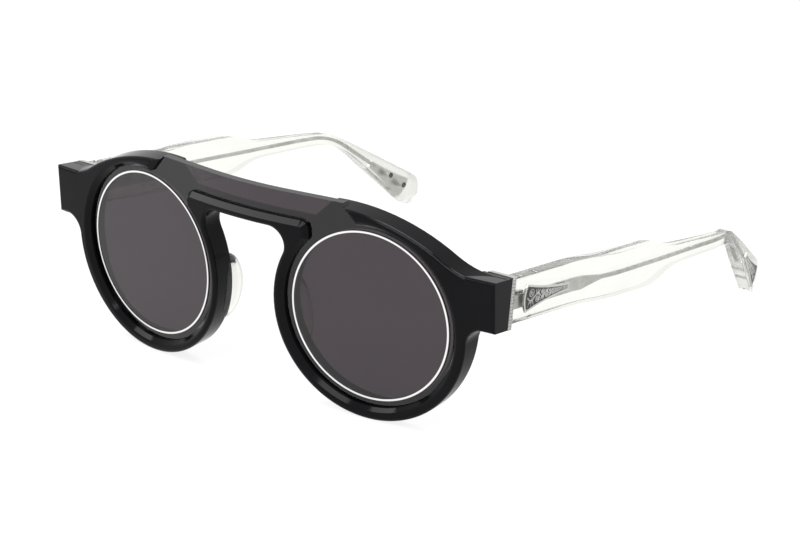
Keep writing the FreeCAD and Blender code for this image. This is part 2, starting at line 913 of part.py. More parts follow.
def templeSlab(side, inner, outer, name):
    # plan of the temple between two offsets of its mid line: straight, bowed out, then inwards
    rearRun = farBack * cosine(dim.tipInAngle)
    acrossRun = farBack * sine(dim.tipInAngle)
    innerFirst, innerSecond, innerX, innerS = bowArc(inner)
    outerFirst, outerSecond, outerX, outerS = bowArc(outer)
    bowed = templeMiddle + dim.bowOut
    innerRadius = dim.tipBendRadius + inner
    outerRadius = dim.tipBendRadius + outer
    innerTurn = tipTurn(bowed, inner)
    outerTurn = tipTurn(bowed, outer)
    body = newBody(name)
    sketch = newSketch(body, "XY_Plane", name + "Outline")
    addLoop(sketch, sided([
        (templeMiddle + inner, -farFront, line()),
        (templeMiddle + outer, -farFront, line()),
        (templeMiddle + outer, dim.bowStart, arc(outerFirst, -1)),
        (outerX, outerS, arc(outerSecond, 1)),
        (bowed + outer, dim.bowEnd, line()),
        (bowed + outer, dim.tipBendStart, arc(outerRadius, 1)),
        (outerTurn[0], outerTurn[1], line()),
        (outerTurn[0] - acrossRun, outerTurn[1] + rearRun, line()),
        (innerTurn[0] - acrossRun, innerTurn[1] + rearRun, line()),
        (innerTurn[0], innerTurn[1], arc(innerRadius, -1)),
        (bowed + inner, dim.tipBendStart, line()),
        (bowed + inner, dim.bowEnd, arc(innerSecond, -1)),
        (innerX, innerS, arc(innerFirst, 1)),
        (templeMiddle + inner, dim.bowStart, line()),
    ], side))
    pad(body, sketch, name + "Pad", depthReach)
    place(body, templeFrame)
    return body


def sidePiece(side, corners, inner, outer, name, finish=None):
    # side outline cut from a slab of the temple's plan
    body = newBody(name + "Side")
    sketch = newSketch(body, "YZ_Plane", name + "Outline")
    addLoop(sketch, corners)
    block = pad(body, sketch, name + "Pad", sideReach)
    if finish is not None:
        document.recompute()
        finish(body, block)
    place(body, templeFrame)
    return common(name, body, templeSlab(side, inner, outer, name + "Plan"))


def shoulder(start, end):
    # radius of each half of an S curve level at both ends
    dx = (end[0] - start[0]) / 2
    dy = (end[1] - start[1]) / 2
    return (dx * dx + dy * dy) / (2 * dy)


def templeOutline():
    half = dim.templeHalfHeight
    middleS = (dim.shoulderStart + dim.shoulderEnd) / 2
    topRadius = shoulder((dim.shoulderStart, dim.waistTop), (dim.shoulderEnd, half))
    lowRadius = shoulder((dim.shoulderStart, dim.waistBottom), (dim.shoulderEnd, half))
    topSine = sine(dim.tipTopAngle)
    topCosine = cosine(dim.tipTopAngle)
    lowSine = sine(dim.tipBottomAngle)
    lowCosine = cosine(dim.tipBottomAngle)
    topBendS = dim.bendStart + dim.bendTopRadius * topSine
    topBendT = dim.bendTop - dim.bendTopRadius * (1 - topCosine)
    lowBendS = dim.bendStart + dim.bendBottomRadius * lowSine
    lowBendT = -dim.bendBottom - dim.bendBottomRadius * (1 - lowCosine)
    endT = topBendT - (dim.tipEnd - topBendS) * topSine / topCosine
    return [
        (dim.templeGap, half, line()),
        (dim.shoulderStart, half, arc(topRadius, -1)),
        (middleS, (half + dim.waistTop) / 2, arc(topRadius, 1)),
        (dim.shoulderEnd, dim.waistTop, line()),
        (dim.bendStart, dim.bendTop, arc(dim.bendTopRadius, -1)),
        (topBendS, topBendT, line()),
        (dim.tipEnd, endT, line()),
        (dim.tipEnd, -dim.tipDrop, line()),
        (dim.tipHeel, -dim.tipDrop, line()),
        (lowBendS, lowBendT, arc(dim.bendBottomRadius, 1)),
        (dim.bendStart, -dim.bendBottom, line()),
        (dim.shoulderEnd, -dim.waistBottom, arc(lowRadius, 1)),
        (middleS, -(half + dim.waistBottom) / 2, arc(lowRadius, -1)),
        (dim.shoulderStart, -half, line()),
        (dim.templeGap, -half, line()),
    ]


def roundTip(body, block):
    def near(s, t):
        def test(edge):
            point = edgeMiddle(edge)
            return alongWidth(edge) and abs(point.y - s) < 1 and abs(point.z - t) < 1
        return test
    outline = templeOutline()
    corners = [(s.value, t.value) for s, t, edge in outline][6:9]
    base = block
    for corner, word, radius in zip(
            corners, ("Top", "End", "Heel"), (dim.tipTopRound, dim.tipEndRound, dim.tipHeelRound)):
        names = edgesWhere(base.Shape, near(*corner))
        base = roundEdges(body, base, names, body.Name + word + "Round", radius)
        document.recompute()


def coreOutline():
    top = dim.coreHalfHeight - dim.coreDrop
    bottom = -dim.coreHalfHeight - dim.coreDrop
    wire = dim.wireHalf
    wireSine = sine(dim.wireAngle)
    wireCosine = cosine(dim.wireAngle)
    centreT = dim.wireBendHeight - dim.wireBendRadius
    topRadius = dim.wireBendRadius + wire
    lowRadius = dim.wireBendRadius - wire
    upper = (dim.wireBendStart + topRadius * wireSine, centreT + topRadius * wireCosine)
    lower = (dim.wireBendStart + lowRadius * wireSine, centreT + lowRadius * wireCosine)
    run = dim.wireEnd - upper[0]
    drop = run * wireSine / wireCosine
    return [
        (dim.coreStart, top, line()),
        (dim.coreTaperStart, top, line()),
        (dim.coreTaperEnd, dim.wireStartHeight + wire, line()),
        (dim.wireBendStart, dim.wireBendHeight + wire, arc(topRadius, -1)),
        (upper[0], upper[1], line()),
        (upper[0] + run, upper[1] - drop, line()),
        (lower[0] + run, lower[1] - drop, line()),
        (lower[0], lower[1], arc(lowRadius, 1)),
        (dim.wireBendStart, dim.wireBendHeight - wire, line()),
        (dim.coreTaperEnd, dim.wireStartHeight - wire, line()),
        (dim.coreTaperStart, bottom, line()),
        (dim.coreStart, bottom, line()),
    ]


def plaqueOutline():
    front = dim.plaqueStart + dim.plaqueFrontBulge
    startHalf = dim.plaqueHalfStart
    endHalf = dim.plaqueHalfEnd
    return [
        (front, startHalf, arc(dim.plaqueSideRadius, 1)),
        (dim.plaqueEnd, endHalf, line()),
        (dim.plaqueEnd, -endHalf, arc(dim.plaqueSideRadius, 1)),
        (front, -startHalf, arc(dim.plaqueFrontRadius, -1)),
    ]


def tipPoint(along, across):
    # a point beside the axis of the tip's plaque, measured from the start of the bend
    forward = cosine(dim.tipAxisAngle)
    down = sine(dim.tipAxisAngle)
    return (dim.bendStart + along * forward + across * down,
            dim.tipAxisHeight - along * down + across * forward)


def tipPlaqueOutline():
    start = dim.tipPlaqueStart
    end = dim.tipPlaqueStart + dim.tipPlaqueLength
    nose = dim.tipPlaqueHalfStart
    tail = dim.tipPlaqueHalfEnd
    corners = [
        (tipPoint(start, nose), arc(dim.plaqueSideRadius, 1)),
        (tipPoint(end, tail), arc(dim.tipPlaqueEndRadius, -1)),
        (tipPoint(end, -tail), arc(dim.plaqueSideRadius, 1)),
        (tipPoint(start, -nose), line()),
    ]
    return [(point[0], point[1], edge) for point, edge in corners]


def makeRivets(side, name, spots, inner, outer):
    body = newBody(name + "Pins")
    sketch = newSketch(body, "YZ_Plane", name + "Outline")
    for s, t in spots:
        addCircle(sketch, s, t, dim.rivetRadius)
    pad(body, sketch, name + "Pad", sideReach)
    place(body, templeFrame)
    return common(name, body, templeSlab(side, inner, outer, name + "Plan"))


plaqueInner = dim.templeThickness / 2 - dim.plaqueInlay
plaqueOuter = dim.templeThickness / 2 + dim.plaqueProud
innerFace = -dim.templeThickness / 2
outerFace = dim.templeThickness / 2


def makeTempleSet(side, word, parts):
    hinge = makeTempleHinge(side, f"temple_hinge_{word}")
    coreHalf = dim.coreThickness / 2
    coreBlank = sidePiece(side, coreOutline(), -coreHalf, coreHalf, f"coreBlank_{word}")
    plaque = sidePiece(side, plaqueOutline(), plaqueInner, plaqueOuter, f"hinge_plaque_{word}")
    tipPlaque = sidePiece(side, tipPlaqueOutline(), plaqueInner, plaqueOuter, f"tip_plaque_{word}")
    spots = [(dim.plaqueRivetStart, middle), (dim.plaqueRivetStart + dim.rivetStep, middle)]
    rivets = makeRivets(side, f"hinge_plaque_rivets_{word}", spots, innerFace, plaqueInner)
    spots = [
        tipPoint(dim.tipRivetStart, dim.tipRivetRise),
        tipPoint(dim.tipRivetStart + dim.rivetStep, dim.tipRivetRise),
    ]
    tipRivets = makeRivets(side, f"tip_rivets_{word}", spots, innerFace, plaqueInner)
    blank = sidePiece(side, templeOutline(), innerFace, outerFace, f"templeBlank_{word}", roundTip)
    document.recompute()
    core = cutAway(f"core_wire_{word}", coreBlank, [rivets])
    temple = cutAway(
        f"temple_{word}", blank, [hinge, coreBlank, plaque, tipPlaque, rivets, tipRivets])
    for name, piece in (
            (f"temple_{word}", temple), (f"core_wire_{word}", core),
            (f"temple_hinge_{word}", hinge), (f"hinge_plaque_{word}", plaque),
            (f"hinge_plaque_rivets_{word}", rivets), (f"tip_plaque_{word}", tipPlaque),
            (f"tip_rivets_{word}", tipRivets)):
        parts[name] = piece


def makeEndSet(side, word, parts):
    # end plate, its pins, the front half of the hinge and the screw
    hinge = makeFrontHinge(side, f"front_hinge_{word}")
    pins = makePlatePins(side, f"end_plate_pins_{word}")
    blank = makePlateBlank(side, f"end_plate_{word}")
    plate = cutAway(f"end_plate_{word}", blank, [hinge, pins])
    screw = makeHingeScrew(side, f"hinge_screw_{word}")
    parts[f"end_plate_{word}"] = plate
    parts[f"end_plate_pins_{word}"] = pins
    parts[f"front_hinge_{word}"] = hinge
    parts[f"hinge_screw_{word}"] = screw
    return [hinge, pins]


def makeAll():
    parts = {}
    hardware = []
    sides = ((1, "left"), (-1, "right"))
    for side, word in sides:
        hardware += makeEndSet(side, word, parts)
    carved = makeFront()
    parts["front_frame"] = cutAway("front_frame", carved, hardware)
    rings = [makeRing(side, f"lens_ring_{word}") for side, word in sides]
    parts["lens_shield"] = makeShield(rings)
    for (side, word), ring in zip(sides, rings):
        parts[f"lens_ring_{word}"] = ring
        parts[f"nose_pad_{word}"] = makeNosePad(side, f"nose_pad_{word}", carved)
        makeTempleSet(side, word, parts)
    for name, piece in parts.items():
        piece.Label = name
    document.recompute()
    return parts


def leanAndCentre(parts):
    # stands the frame as it rests: leaned forward, on the floor, with its box centred on the origin
    lean = FreeCAD.Placement(Vector(), FreeCAD.Rotation(Vector(1, 0, 0), dim.frontLean.value))
    for body, frame in placed:
        body.Placement = lean * frame
    document.recompute()
    box = Part.makeCompound([piece.Shape for piece in parts.values()]).optimalBoundingBox(False)
    shift = Vector(-(box.XMin + box.XMax) / 2, -(box.YMin + box.YMax) / 2, -box.ZMin)
    move = FreeCAD.Placement(shift, FreeCAD.Rotation())
    for body, frame in placed:
        body.Placement = move * lean * frame
    document.recompute()
    return move * lean


def checkDocument(parts):
    for item in document.Objects:
        if "Invalid" in item.State or "Error" in item.State:
            raise RuntimeError(f"{item.Label} failed to compute")
    for name, piece in parts.items():
        if piece.Shape.isNull() or not piece.Shape.isValid():
            raise RuntimeError(f"{name} has no valid shape")


parts = makeAll()
stance = leanAndCentre(parts)
checkDocument(parts)
os.makedirs("parts", exist_ok=True)
for name, piece in parts.items():
    piece.Shape.exportStep(f"parts/{name}.step")
    print(name, len(piece.Shape.Solids), round(piece.Shape.Volume, 3), piece.Shape.BoundBox)
hingePoints = {
    word: stance * hingeFrame(side) * Vector() for side, word in ((1, "left"), (-1, "right"))}
hingeAxis = (stance * templeFrame).Rotation.multVec(Vector(0, 0, 1))
print("hinge points", hingePoints, "axis", hingeAxis, "stance", stance)
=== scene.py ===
import json
import math

import bmesh
import bpy
from mathutils import Matrix, Vector


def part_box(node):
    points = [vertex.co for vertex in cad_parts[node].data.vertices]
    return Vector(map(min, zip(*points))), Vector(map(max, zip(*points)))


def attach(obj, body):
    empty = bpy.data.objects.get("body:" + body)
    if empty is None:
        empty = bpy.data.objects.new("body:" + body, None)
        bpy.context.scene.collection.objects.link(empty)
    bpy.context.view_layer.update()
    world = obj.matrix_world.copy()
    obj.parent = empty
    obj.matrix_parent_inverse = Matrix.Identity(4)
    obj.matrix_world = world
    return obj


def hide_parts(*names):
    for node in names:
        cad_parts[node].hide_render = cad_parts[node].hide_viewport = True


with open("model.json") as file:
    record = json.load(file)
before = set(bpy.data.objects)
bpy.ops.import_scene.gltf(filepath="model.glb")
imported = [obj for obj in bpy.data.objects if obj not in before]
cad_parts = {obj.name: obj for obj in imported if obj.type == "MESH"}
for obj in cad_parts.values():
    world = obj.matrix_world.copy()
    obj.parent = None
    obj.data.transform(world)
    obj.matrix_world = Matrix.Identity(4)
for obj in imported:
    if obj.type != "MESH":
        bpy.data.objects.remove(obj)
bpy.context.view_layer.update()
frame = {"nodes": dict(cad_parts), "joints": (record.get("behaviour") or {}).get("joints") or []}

nodes = frame["nodes"]


# The front's own axes, found from the left hinge: lens centres on the X axis, Y to the rear.
# The temple axes start at the end plate: Y runs along the temple, sizes in millimetres.
stance = {
    "templeTilt": 9.3,
    "hingeInFront": (0.0650, 0.0119803, 0.0085576),
    "templeStart": (0.0, 0.0105, 0.0088),
    "millimetre": 0.001,
}


def frontMatrix():
    joint = [item for item in frame["joints"] if item["name"] == "left_fold"][0]
    axis = Vector(joint["axis"])
    lean = math.radians(stance["templeTilt"]) - math.atan2(axis.y, axis.z)
    turn = Matrix.Rotation(lean, 4, "X")
    shift = Vector(joint["pos_m"]) - turn @ Vector(stance["hingeInFront"])
    return Matrix.Translation(shift) @ turn


frontAxes = frontMatrix()
scaleDown = Matrix.Scale(stance["millimetre"], 4)
frontPlace = frontAxes @ scaleDown
templeTurn = Matrix.Rotation(-math.radians(stance["templeTilt"]), 4, "X")
templePlace = frontAxes @ Matrix.Translation(stance["templeStart"]) @ templeTurn @ scaleDown


# Node helpers

def newMaterial(name):
    material = bpy.data.materials.new(name)
    material.use_nodes = True
    tree = material.node_tree
    shader = tree.nodes["Principled BSDF"]
    return material, tree, shader


def setSockets(shader, values):
    for name, value in values.items():
        shader.inputs[name].default_value = value


def addNode(tree, kind, values=None, **settings):
    node = tree.nodes.new(kind)
    for name, value in settings.items():
        setattr(node, name, value)
    for name, value in (values or {}).items():
        node.inputs[name].default_value = value
    return node


def newGroup(name, inputs, outputs):
    group = bpy.data.node_groups.new(name, "ShaderNodeTree")
    for direction, sockets in (("INPUT", inputs), ("OUTPUT", outputs)):
        for label, kind in sockets.items():
            group.interface.new_socket(name=label, in_out=direction, socket_type=kind)
    return group, group.nodes.new("NodeGroupInput"), group.nodes.new("NodeGroupOutput")


def useGroup(tree, group, values):
    return addNode(tree, "ShaderNodeGroup", values, node_tree=group)


def tintColour(tree, mask, colour):
    # lets a mask mix another colour into the shader's own
    shader = tree.nodes["Principled BSDF"]
    before = shader.inputs["Base Color"].links[0].from_socket
    tint = addNode(tree, "ShaderNodeMix", {"B": colour}, data_type="RGBA")
    tree.links.new(mask, tint.inputs["Factor"])
    tree.links.new(before, tint.inputs["A"])
    tree.links.new(tint.outputs["Result"], shader.inputs["Base Color"])


def paint(piece, material):
    piece.data.materials.clear()
    piece.data.materials.append(material)


# Shared effects

polishLook = {
    "cloudDetail": 5.0,
    "cloudRoughness": 0.6,
    "hairTurn": (0.3, 0.5, 0.8),
    "hairStretch": (12.0, 1.0, 3.0),
    "hairScale": 900.0,
    "hairDetail": 2.0,
    "hairStart": 0.6,
    "hairFull": 0.75,
    "hairShare": 0.5,
    "smoothAt": 0.3,
    "wornAt": 1.0,
}


def makePolish():
    # hand polished surface: cloudy roughness crossed by hair lines, and a slow waviness
    group, start, end = newGroup(
        "handPolish",
        {"Scale": "NodeSocketFloat", "Low": "NodeSocketFloat", "High": "NodeSocketFloat"},
        {"Roughness": "NodeSocketFloat", "Height": "NodeSocketFloat"})
    place = addNode(group, "ShaderNodeTexCoord")
    clouds = addNode(group, "ShaderNodeTexNoise", {
        "Detail": polishLook["cloudDetail"], "Roughness": polishLook["cloudRoughness"]})
    group.links.new(place.outputs["Object"], clouds.inputs["Vector"])
    group.links.new(start.outputs["Scale"], clouds.inputs["Scale"])
    stretch = addNode(group, "ShaderNodeMapping", {
        "Rotation": polishLook["hairTurn"], "Scale": polishLook["hairStretch"]})
    group.links.new(place.outputs["Object"], stretch.inputs["Vector"])
    hairs = addNode(group, "ShaderNodeTexNoise", {
        "Scale": polishLook["hairScale"], "Detail": polishLook["hairDetail"]})
    group.links.new(stretch.outputs["Vector"], hairs.inputs["Vector"])
    hairMask = addNode(group, "ShaderNodeMapRange", {
        "From Min": polishLook["hairStart"], "From Max": polishLook["hairFull"]})
    group.links.new(hairs.outputs["Fac"], hairMask.inputs["Value"])
    blend = addNode(group, "ShaderNodeMath", {1: polishLook["hairShare"]}, operation="MULTIPLY_ADD")
    group.links.new(hairMask.outputs["Result"], blend.inputs[0])
    group.links.new(clouds.outputs["Fac"], blend.inputs[2])
    level = addNode(group, "ShaderNodeMapRange", {
        "From Min": polishLook["smoothAt"], "From Max": polishLook["wornAt"]})
    group.links.new(blend.outputs[0], level.inputs["Value"])
    group.links.new(start.outputs["Low"], level.inputs["To Min"])
    group.links.new(start.outputs["High"], level.inputs["To Max"])
    group.links.new(level.outputs["Result"], end.inputs["Roughness"])
    group.links.new(clouds.outputs["Fac"], end.inputs["Height"])
    return group


mottleLook = {
    "detail": 4.0,
    "distortion": 0.8,
    "firstAt": 0.35,
    "secondAt": 0.65,
}


def makeMottle():
    # slow change between two close colours, as in cast sheet
    group, start, end = newGroup(
        "sheetMottle",
        {"Scale": "NodeSocketFloat", "First": "NodeSocketColor", "Second": "NodeSocketColor"},
        {"Color": "NodeSocketColor"})
    place = addNode(group, "ShaderNodeTexCoord")
    clouds = addNode(group, "ShaderNodeTexNoise", {
        "Detail": mottleLook["detail"], "Distortion": mottleLook["distortion"]})
    group.links.new(place.outputs["Object"], clouds.inputs["Vector"])
    group.links.new(start.outputs["Scale"], clouds.inputs["Scale"])
    spread = addNode(group, "ShaderNodeMapRange", {
        "From Min": mottleLook["firstAt"], "From Max": mottleLook["secondAt"]})
    group.links.new(clouds.outputs["Fac"], spread.inputs["Value"])
    mix = addNode(group, "ShaderNodeMix", data_type="RGBA")
    group.links.new(spread.outputs["Result"], mix.inputs["Factor"])
    group.links.new(start.outputs["First"], mix.inputs["A"])
    group.links.new(start.outputs["Second"], mix.inputs["B"])
    group.links.new(mix.outputs["Result"], end.inputs["Color"])
    return group


tarnishLook = {
    "cloudScale": 700.0,
    "cloudDetail": 6.0,
    "cloudRoughness": 0.65,
    "cloudShare": 0.6,
    "grainScale": 5200.0,
    "grainDetail": 2.0,
    "darkAt": 0.35,
    "rubbedAt": 1.15,
    "darkRoughness": 0.55,
    "rubbedRoughness": 0.24,
}


def makeTarnish():
    # silver kept bright where it is rubbed and dark where the relief is low
    group, start, end = newGroup(
        "tarnish",
        {"Dark": "NodeSocketColor", "Rubbed": "NodeSocketColor", "Relief": "NodeSocketFloat"},
        {"Color": "NodeSocketColor", "Roughness": "NodeSocketFloat", "Height": "NodeSocketFloat"})
    place = addNode(group, "ShaderNodeTexCoord")
    clouds = addNode(group, "ShaderNodeTexNoise", {
        "Scale": tarnishLook["cloudScale"], "Detail": tarnishLook["cloudDetail"],
        "Roughness": tarnishLook["cloudRoughness"]})
    group.links.new(place.outputs["Object"], clouds.inputs["Vector"])
    grains = addNode(group, "ShaderNodeTexNoise", {
        "Scale": tarnishLook["grainScale"], "Detail": tarnishLook["grainDetail"]})
    group.links.new(place.outputs["Object"], grains.inputs["Vector"])
    rubbed = addNode(group, "ShaderNodeMath", {1: tarnishLook["cloudShare"]}, operation="MULTIPLY_ADD")
    group.links.new(clouds.outputs["Fac"], rubbed.inputs[0])
    group.links.new(start.outputs["Relief"], rubbed.inputs[2])
    mask = addNode(group, "ShaderNodeMapRange", {
        "From Min": tarnishLook["darkAt"], "From Max": tarnishLook["rubbedAt"]})
    group.links.new(rubbed.outputs[0], mask.inputs["Value"])
    mix = addNode(group, "ShaderNodeMix", data_type="RGBA")
    group.links.new(mask.outputs["Result"], mix.inputs["Factor"])
    group.links.new(start.outputs["Dark"], mix.inputs["A"])
    group.links.new(start.outputs["Rubbed"], mix.inputs["B"])
    group.links.new(mix.outputs["Result"], end.inputs["Color"])
    rough = addNode(group, "ShaderNodeMapRange", {
        "To Min": tarnishLook["darkRoughness"], "To Max": tarnishLook["rubbedRoughness"]})
    group.links.new(mask.outputs["Result"], rough.inputs["Value"])
    group.links.new(rough.outputs["Result"], end.inputs["Roughness"])
    group.links.new(grains.outputs["Fac"], end.inputs["Height"])
    return group


handPolish = makePolish()
sheetMottle = makeMottle()
tarnish = makeTarnish()


def addBump(tree, height, shader, strength, distance):
    bump = addNode(tree, "ShaderNodeBump", {"Strength": strength, "Distance": distance})
    tree.links.new(height, bump.inputs["Height"])
    tree.links.new(bump.outputs["Normal"], shader.inputs["Normal"])


def polishedMaterial(name, finish, sockets):
    material, tree, shader = newMaterial(name)
    setSockets(shader, sockets)
    mottle = useGroup(tree, sheetMottle, {
        "Scale": finish["mottleScale"], "First": finish["colour"], "Second": finish["second"]})
    tree.links.new(mottle.outputs["Color"], shader.inputs["Base Color"])
    polish = useGroup(tree, handPolish, {
        "Scale": finish["polishScale"], "Low": finish["smooth"], "High": finish["worn"]})
    tree.links.new(polish.outputs["Roughness"], shader.inputs["Roughness"])
    addBump(tree, polish.outputs["Height"], shader, finish["wave"], finish["waveDepth"])
    return material


acetate = {
    "colour": (0.0018, 0.0018, 0.0024, 1),
    "second": (0.0032, 0.0032, 0.0040, 1),
    "mottleScale": 45.0,
    "polishScale": 160.0,
    "smooth": 0.07,
    "worn": 0.17,
    "wave": 0.12,
    "waveDepth": 0.0002,
    "specular": 0.095,
}

lens = {
    "colour": (0.032, 0.022, 0.028, 1),
    "second": (0.038, 0.027, 0.033, 1),
    "mottleScale": 14.0,
    "polishScale": 90.0,
    "smooth": 0.0,
    "worn": 0.015,
    "wave": 0.02,
    "waveDepth": 0.0001,
    "ior": 1.5,
}

clear = {
    "colour": (0.885, 0.882, 0.840, 1),
    "second": (0.915, 0.912, 0.878, 1),
    "frost": (0.80, 0.80, 0.765, 1),
    "frostStart": 0.040,
    "frostFull": 0.056,
    "frostRoughness": 0.30,
    "mottleScale": 60.0,
    "polishScale": 120.0,
    "smooth": 0.01,
    "worn": 0.05,
    "wave": 0.08,
    "waveDepth": 0.0002,
    "ior": 1.49,
    "templeIor": 1.24,
    # painted shade colour for the clear plastic's turned-away edges
    "edge": (0.10, 0.10, 0.10, 1),
    "edgeShadeBlend": 0.5,
    "edgeShadeStart": 0.62,
    "edgeShadeFull": 0.90,
}

bright = {
    "colour": (0.95, 0.945, 0.93, 1),
    "second": (0.88, 0.875, 0.86, 1),
    "mottleScale": 90.0,
    "polishScale": 400.0,
    "smooth": 0.14,
    "worn": 0.30,
    "wave": 0.10,
    "waveDepth": 0.0001,
}

core = {
    "colour": (0.60, 0.61, 0.59, 1),
    "second": (0.47, 0.48, 0.46, 1),
    "mottleScale": 250.0,
    "polishScale": 600.0,
    "smooth": 0.32,
    "worn": 0.50,
    "wave": 0.20,
    "waveDepth": 0.0001,
}

steel = {
    "colour": (0.14, 0.14, 0.14, 1),
    "second": (0.05, 0.05, 0.05, 1),
    "mottleScale": 900.0,
    "polishScale": 900.0,
    "smooth": 0.25,
    "worn": 0.45,
    "wave": 0.20,
    "waveDepth": 0.0001,
}


def paintEdgeShade(material):
    # painted shade: the base colour of thick clear plastic is darkened where its surface turns away from
    # the view
    tree = material.node_tree
    facing = addNode(tree, "ShaderNodeLayerWeight", {"Blend": clear["edgeShadeBlend"]})
    mask = addNode(tree, "ShaderNodeMapRange", {
        "From Min": clear["edgeShadeStart"], "From Max": clear["edgeShadeFull"]})
    tree.links.new(facing.outputs["Facing"], mask.inputs["Value"])
    tintColour(tree, mask.outputs["Result"], clear["edge"])


def frostTips(material):
    # the tips look milkier than the blades
    tree = material.node_tree
    shader = tree.nodes["Principled BSDF"]
    place = addNode(tree, "ShaderNodeTexCoord")
    split = addNode(tree, "ShaderNodeSeparateXYZ")
    tree.links.new(place.outputs["Object"], split.inputs["Vector"])
    mask = addNode(tree, "ShaderNodeMapRange", {
        "From Min": clear["frostStart"], "From Max": clear["frostFull"]}, interpolation_type="SMOOTHSTEP")
    tree.links.new(split.outputs["Y"], mask.inputs["Value"])
    tintColour(tree, mask.outputs["Result"], clear["frost"])
    roughness = shader.inputs["Roughness"].links[0].from_socket
    satin = addNode(tree, "ShaderNodeMath", {1: clear["frostRoughness"]}, operation="MULTIPLY_ADD")
    tree.links.new(mask.outputs["Result"], satin.inputs[0])
    tree.links.new(roughness, satin.inputs[2])
    tree.links.new(satin.outputs[0], shader.inputs["Roughness"])


silver = {
    "dark": (0.09, 0.093, 0.09, 1),
    "rubbed": (0.57, 0.575, 0.55, 1),
    "grain": 0.25,
    "grainDepth": 0.00004,
    "plainRelief": 0.75,
    "reliefName": "relief",
}


def silverMaterial(name, hasRelief):
    material, tree, shader = newMaterial(name)
    setSockets(shader, {"Metallic": 1.0})
    wear = useGroup(tree, tarnish, {
        "Dark": silver["dark"], "Rubbed": silver["rubbed"], "Relief": silver["plainRelief"]})
    if hasRelief:
        relief = addNode(tree, "ShaderNodeAttribute", attribute_name=silver["reliefName"])
        tree.links.new(relief.outputs["Fac"], wear.inputs["Relief"])
    tree.links.new(wear.outputs["Color"], shader.inputs["Base Color"])
    tree.links.new(wear.outputs["Roughness"], shader.inputs["Roughness"])
    addBump(tree, wear.outputs["Height"], shader, silver["grain"], silver["grainDepth"])
    return material


blackAcetate = polishedMaterial("blackAcetate", acetate, {"Specular IOR Level": acetate["specular"]})
tintedLens = polishedMaterial("tintedLens", lens, {"IOR": lens["ior"], "Transmission Weight": 1.0})
clearAcetate = polishedMaterial("clearAcetate", clear, {"IOR": clear["ior"], "Transmission Weight": 1.0})
paintEdgeShade(clearAcetate)
templeAcetate = polishedMaterial(
    "templeAcetate", clear, {"IOR": clear["templeIor"], "Transmission Weight": 1.0})
frostTips(templeAcetate)
coreMetal = polishedMaterial("greyCore", core, {"Metallic": 1.0})
rivetSteel = polishedMaterial("rivetSteel", steel, {"Metallic": 1.0})
plainSilver = silverMaterial("agedSilver", False)
engravedSilver = silverMaterial("engravedSilver", True)

ringGrooveShade = {
    "radius": 0.0218,
    "half": 0.00021,
    "fade": 0.00008,
    # painted shade of the groove, laid on both edges of the ring's crown
    "edge": (0.035, 0.033, 0.034, 1),
}


def ringMaterial(name):
    # bright crown with painted shade of its groove along both sides of it
    material = polishedMaterial(f"bright_{name}", bright, {"Metallic": 1.0})
    tree = material.node_tree
    low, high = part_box(name)
    place = addNode(tree, "ShaderNodeTexCoord")
    away = addNode(tree, "ShaderNodeVectorMath", operation="DISTANCE")
    tree.links.new(place.outputs["Object"], away.inputs[0])
    away.inputs[1].default_value = (low + high) / 2
    off = addNode(tree, "ShaderNodeMath", {1: ringGrooveShade["radius"]}, operation="SUBTRACT")
    tree.links.new(away.outputs["Value"], off.inputs[0])
    size = addNode(tree, "ShaderNodeMath", operation="ABSOLUTE")
    tree.links.new(off.outputs[0], size.inputs[0])
    mask = addNode(tree, "ShaderNodeMapRange", {
        "From Min": ringGrooveShade["half"], "From Max": ringGrooveShade["half"] + ringGrooveShade["fade"]})
    tree.links.new(size.outputs[0], mask.inputs["Value"])
    tintColour(tree, mask.outputs["Result"], ringGrooveShade["edge"])
    return material


finishes = {
    "front_frame": blackAcetate,
    "lens_shield": tintedLens,
    "lens_ring_left": ringMaterial("lens_ring_left"),
    "lens_ring_right": ringMaterial("lens_ring_right"),
    "nose_pad": clearAcetate,
    "core_wire": coreMetal,
    "temple_hinge": plainSilver,
    "temple": clearAcetate,
}

for name, node in nodes.items():
    chosen = plainSilver
    for start, material in finishes.items():
        if name.startswith(start):
            chosen = material
            break
    paint(node, chosen)
print("materials set")


# Mesh helpers

def finishPiece(name, bm, matrix, material, body, replaced, sharp):
    # sharp: edges that turn by more than this many degrees stay crisp
    bmesh.ops.transform(bm, matrix=matrix, verts=bm.verts)
    bmesh.ops.recalc_face_normals(bm, faces=bm.faces)
    for edge in bm.edges:
        flat = len(edge.link_faces) == 2 and edge.calc_face_angle() < math.radians(sharp)
        edge.smooth = flat
    for face in bm.faces:
        face.smooth = True
    mesh = bpy.data.meshes.new(name)
    bm.to_mesh(mesh)
    bm.free()
    piece = bpy.data.objects.new(name, mesh)
    bpy.context.scene.collection.objects.link(piece)
    weighted = piece.modifiers.new("weighted", "WEIGHTED_NORMAL")
    weighted.keep_sharp = True
    paint(piece, material)
    if replaced:
        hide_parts(*replaced)
    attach(piece, body)
    return piece


sides = {
    "left": {"turn": 1, "body": "left_temple"},
    "right": {"turn": -1, "body": "right_temple"},
}


# Clear temples

